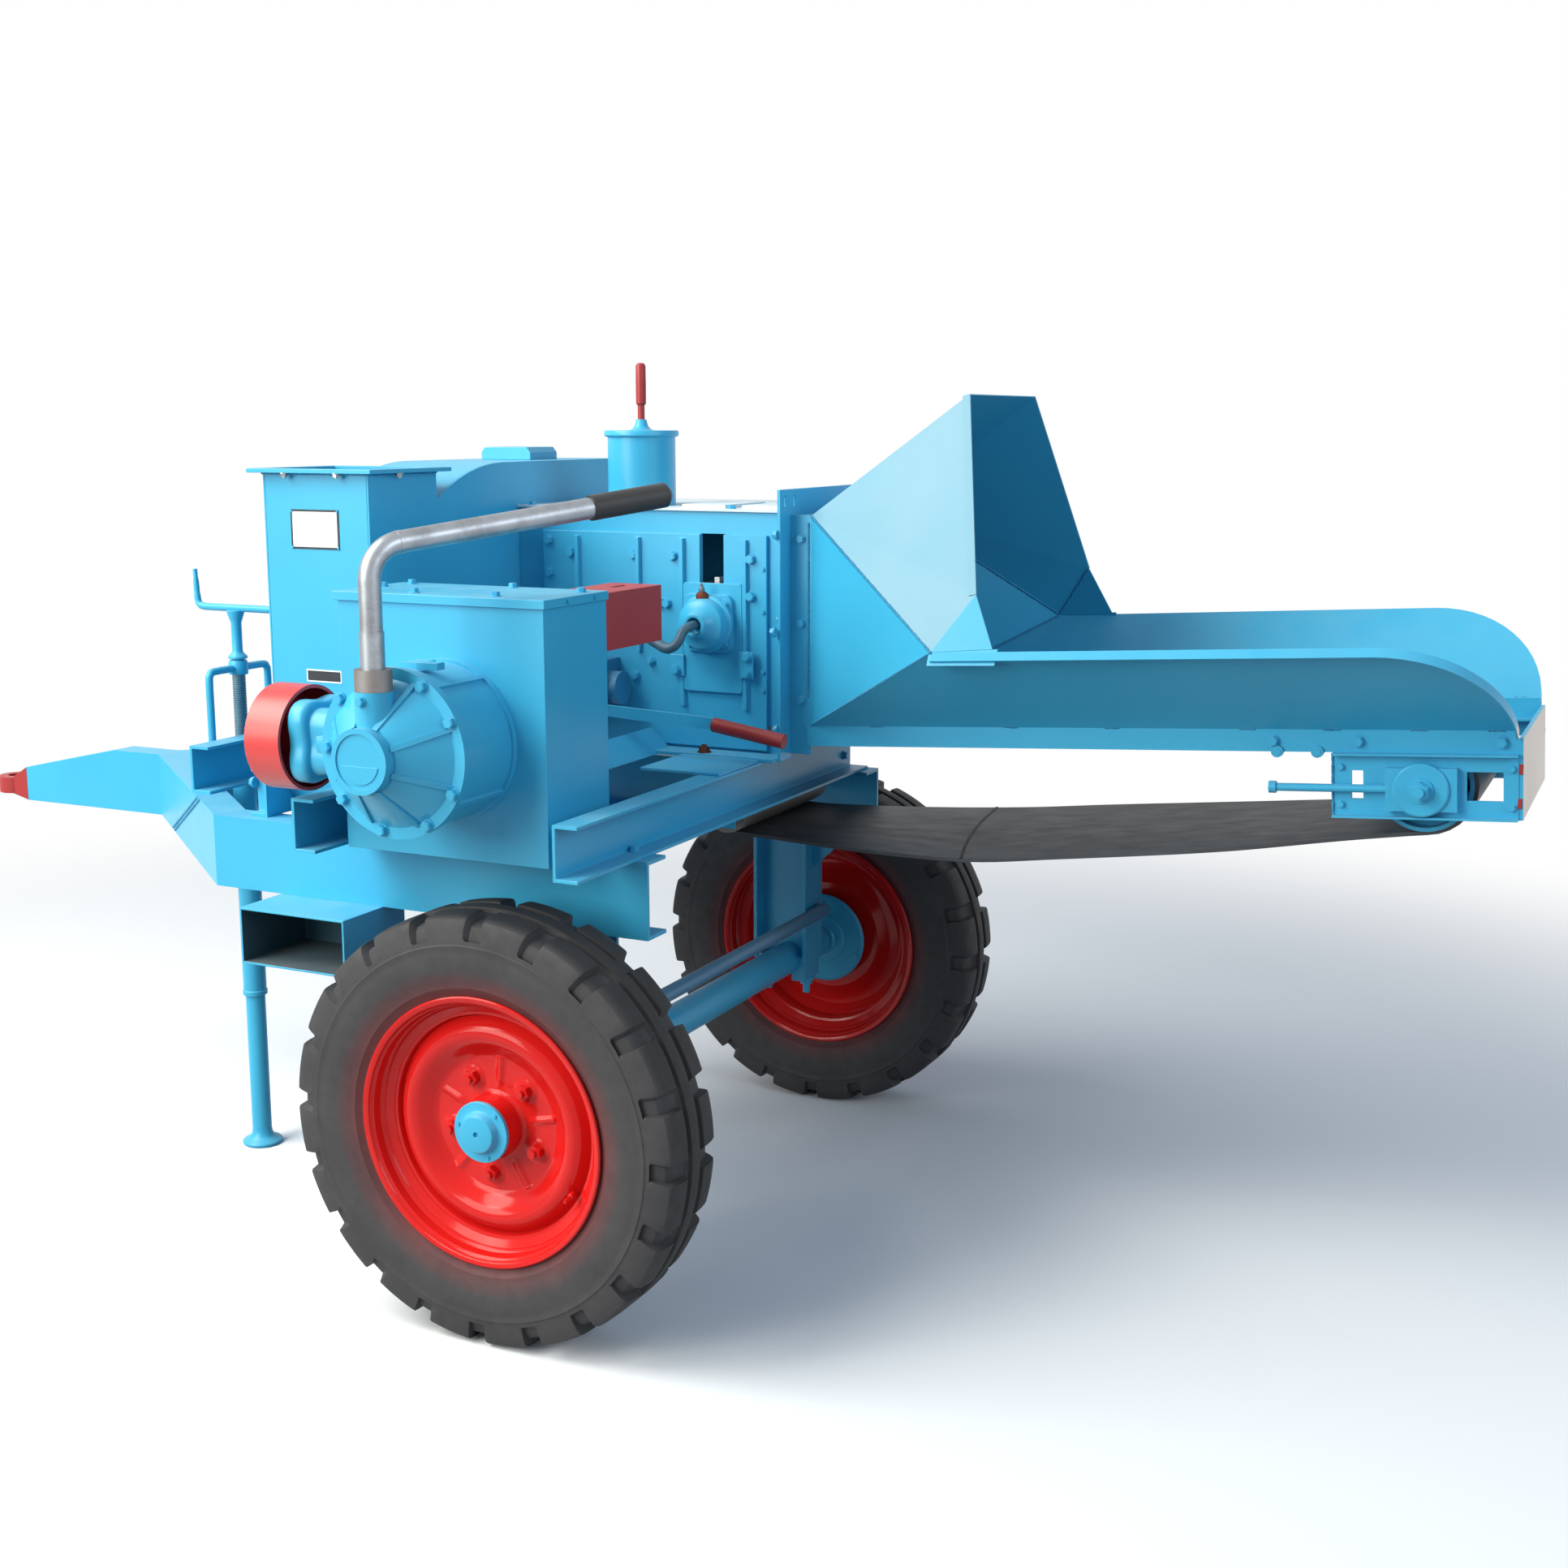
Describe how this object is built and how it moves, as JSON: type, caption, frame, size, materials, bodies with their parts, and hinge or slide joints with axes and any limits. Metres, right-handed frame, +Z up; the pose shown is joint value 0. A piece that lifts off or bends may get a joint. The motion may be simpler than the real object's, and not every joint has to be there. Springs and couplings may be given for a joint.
{
  "type": "chaff cutter",
  "caption": "Trailed chaff cutter with a belt feed table and hopper, feed rollers, a round knife wheel casing with a tall chute, a side gear drive, and a drawbar with a screw jack.",
  "frame": {"origin": "on the ground, below the middle of the outer box", "axes": "+X along the trailer from the tow eye to the feed table, +Y away from the drive side, +Z up"},
  "size_m": [3.907, 1.876, 1.918],
  "materials": {
    "blue_paint": "gloss",
    "dark_blue_paint": "gloss",
    "red_paint": "gloss",
    "dark_red_paint": "satin",
    "bare_steel": "satin",
    "tyre_rubber": "matte",
    "black_rubber": "matte",
    "pale_blue_paint": "gloss"
  },
  "bodies": {
    "trailer": {"near_rail": "blue_paint", "far_rail": "blue_paint", "drawbar": "blue_paint", "tow_eye": "red_paint", "front_cross_channel": "blue_paint", "mid_cross_channel": "blue_paint", "rear_cross_channel": "blue_paint", "step_box": "blue_paint", "casing_brackets": "blue_paint", "axle_posts": "blue_paint", "axle_beam": "dark_blue_paint", "brake_shaft": "dark_blue_paint", "brake_backplates": "blue_paint", "jack_sleeve": "blue_paint", "drive_case": "blue_paint", "drive_case_lid": "blue_paint", "bevel_housing": "blue_paint", "bevel_cover": "blue_paint", "bearing_carrier": "blue_paint", "feed_drive_guard": "dark_red_paint", "lower_drive_guard": "blue_paint", "angle_drive": "dark_blue_paint", "casing_band": "blue_paint", "casing_front_wall": "blue_paint", "casing_rear_wall": "blue_paint", "roof_hatch": "blue_paint", "chute_flange": "blue_paint", "feed_housing": "blue_paint", "side_panel": "blue_paint", "top_cover": "pale_blue_paint", "spring_pot": "blue_paint", "hopper": "blue_paint", "feed_table": "blue_paint", "feed_belt": "black_rubber", "tail_brackets": "blue_paint"},
    "near_wheel": {"near_rim": "red_paint", "near_tyre": "tyre_rubber", "near_hub_cap": "blue_paint", "near_wheel_nuts": "red_paint"},
    "far_wheel": {"far_rim": "red_paint", "far_tyre": "tyre_rubber", "far_hub_cap": "blue_paint", "far_wheel_nuts": "red_paint"},
    "jack_leg": {"jack_leg": "blue_paint"},
    "jack_crank": {"jack_crank": "blue_paint"},
    "clutch_lever": {"clutch_lever": "bare_steel", "clutch_lever_grip": "black_rubber"},
    "shift_lever": {"shift_lever": "red_paint"},
    "feed_lever": {"feed_lever": "blue_paint"},
    "drive_pulley": {"drive_pulley": "red_paint"},
    "cross_shaft": {"cross_shaft": "bare_steel"},
    "knife_wheel": {"knife_wheel": "bare_steel"},
    "roller_slide": {"bearing_plates": "blue_paint"},
    "upper_feed_roller": {"upper_feed_roller": "bare_steel"},
    "lower_feed_roller": {"lower_feed_roller": "bare_steel"},
    "upper_press_roller": {"upper_press_roller": "bare_steel"},
    "lower_press_roller": {"lower_press_roller": "bare_steel"},
    "nose_roller": {"nose_roller": "bare_steel"},
    "belt_drive_roller": {"belt_drive_roller": "bare_steel"},
    "tail_roller": {"tail_roller": "blue_paint"}
  },
  "joints": [
    {"name": "near_wheel_spin", "type": "hinge", "parent": "trailer", "child": "near_wheel", "pos_m": [0.178, -0.721, 0.436], "axis": [0, 1, 0], "continuous": true},
    {"name": "far_wheel_spin", "type": "hinge", "parent": "trailer", "child": "far_wheel", "pos_m": [0.178, 0.843, 0.436], "axis": [0, 1, 0], "continuous": true},
    {"name": "jack_slide", "type": "slide", "parent": "trailer", "child": "jack_leg", "axis": [0, 0, 1], "range_m": [0, 0.24]},
    {"name": "jack_turn", "type": "hinge", "parent": "trailer", "child": "jack_crank", "pos_m": [-0.9473, -0.124, 1.3], "axis": [0, 0, 1], "range_deg": [-1, 4330]},
    {"name": "clutch_swing", "type": "hinge", "parent": "trailer", "child": "clutch_lever", "pos_m": [0.037, -0.884, 1.3], "axis": [0, 0, 1], "range_deg": [-20, 25]},
    {"name": "shift_tilt", "type": "hinge", "parent": "trailer", "child": "shift_lever", "pos_m": [-0.015, 0.211, 1.768], "axis": [0, 1, 0], "range_deg": [-12, 12]},
    {"name": "feed_lever_swing", "type": "hinge", "parent": "trailer", "child": "feed_lever", "pos_m": [-0.027, -0.046, 1.154], "axis": [0, 1, 0], "range_deg": [-18, 4]},
    {"name": "wheel_spin", "type": "hinge", "parent": "trailer", "child": "knife_wheel", "pos_m": [-0.422, 0.046, 1.19], "axis": [1, 0, 0], "continuous": true},
    {"name": "pulley_spin", "type": "hinge", "parent": "trailer", "child": "drive_pulley", "pos_m": [-0.272, -0.747, 1.175], "axis": [1, 0, 0], "continuous": true},
    {"name": "cross_spin", "type": "hinge", "parent": "trailer", "child": "cross_shaft", "pos_m": [-0.077, -0.239, 1.19], "axis": [0, 1, 0], "continuous": true},
    {"name": "roller_lift", "type": "slide", "parent": "trailer", "child": "roller_slide", "axis": [0, 0, 1], "range_m": [0, 0.095]},
    {"name": "upper_feed_spin", "type": "hinge", "parent": "roller_slide", "child": "upper_feed_roller", "pos_m": [0.228, 0.341, 1.345], "axis": [0, 1, 0], "continuous": true},
    {"name": "lower_feed_spin", "type": "hinge", "parent": "trailer", "child": "lower_feed_roller", "pos_m": [0.228, 0.341, 1.14], "axis": [0, 1, 0], "continuous": true},
    {"name": "upper_press_spin", "type": "hinge", "parent": "trailer", "child": "upper_press_roller", "pos_m": [-0.152, 0.341, 1.33], "axis": [0, 1, 0], "continuous": true},
    {"name": "lower_press_spin", "type": "hinge", "parent": "trailer", "child": "lower_press_roller", "pos_m": [-0.152, 0.341, 1.12], "axis": [0, 1, 0], "continuous": true},
    {"name": "nose_spin", "type": "hinge", "parent": "trailer", "child": "nose_roller", "pos_m": [0.363, 0.341, 1.102], "axis": [0, 1, 0], "continuous": true},
    {"name": "belt_drive_spin", "type": "hinge", "parent": "trailer", "child": "belt_drive_roller", "pos_m": [0.248, 0.341, 0.91], "axis": [0, 1, 0], "continuous": true},
    {"name": "tail_spin", "type": "hinge", "parent": "trailer", "child": "tail_roller", "pos_m": [1.7678, 0.341, 1.0908], "axis": [0, 1, 0], "continuous": true}
  ],
  "couplings": [
    {"joint": "pulley_spin", "follows": "wheel_spin", "ratio": 1},
    {"joint": "cross_spin", "follows": "wheel_spin", "ratio": 1},
    {"joint": "upper_feed_spin", "follows": "wheel_spin", "ratio": 0.08},
    {"joint": "lower_feed_spin", "follows": "wheel_spin", "ratio": -0.1},
    {"joint": "upper_press_spin", "follows": "wheel_spin", "ratio": 0.1026},
    {"joint": "lower_press_spin", "follows": "wheel_spin", "ratio": -0.1026},
    {"joint": "nose_spin", "follows": "wheel_spin", "ratio": -0.2},
    {"joint": "belt_drive_spin", "follows": "wheel_spin", "ratio": -0.16},
    {"joint": "tail_spin", "follows": "wheel_spin", "ratio": -0.087},
    {"joint": "jack_turn", "follows": "jack_slide", "rad_per_m": 314.16}
  ]
}
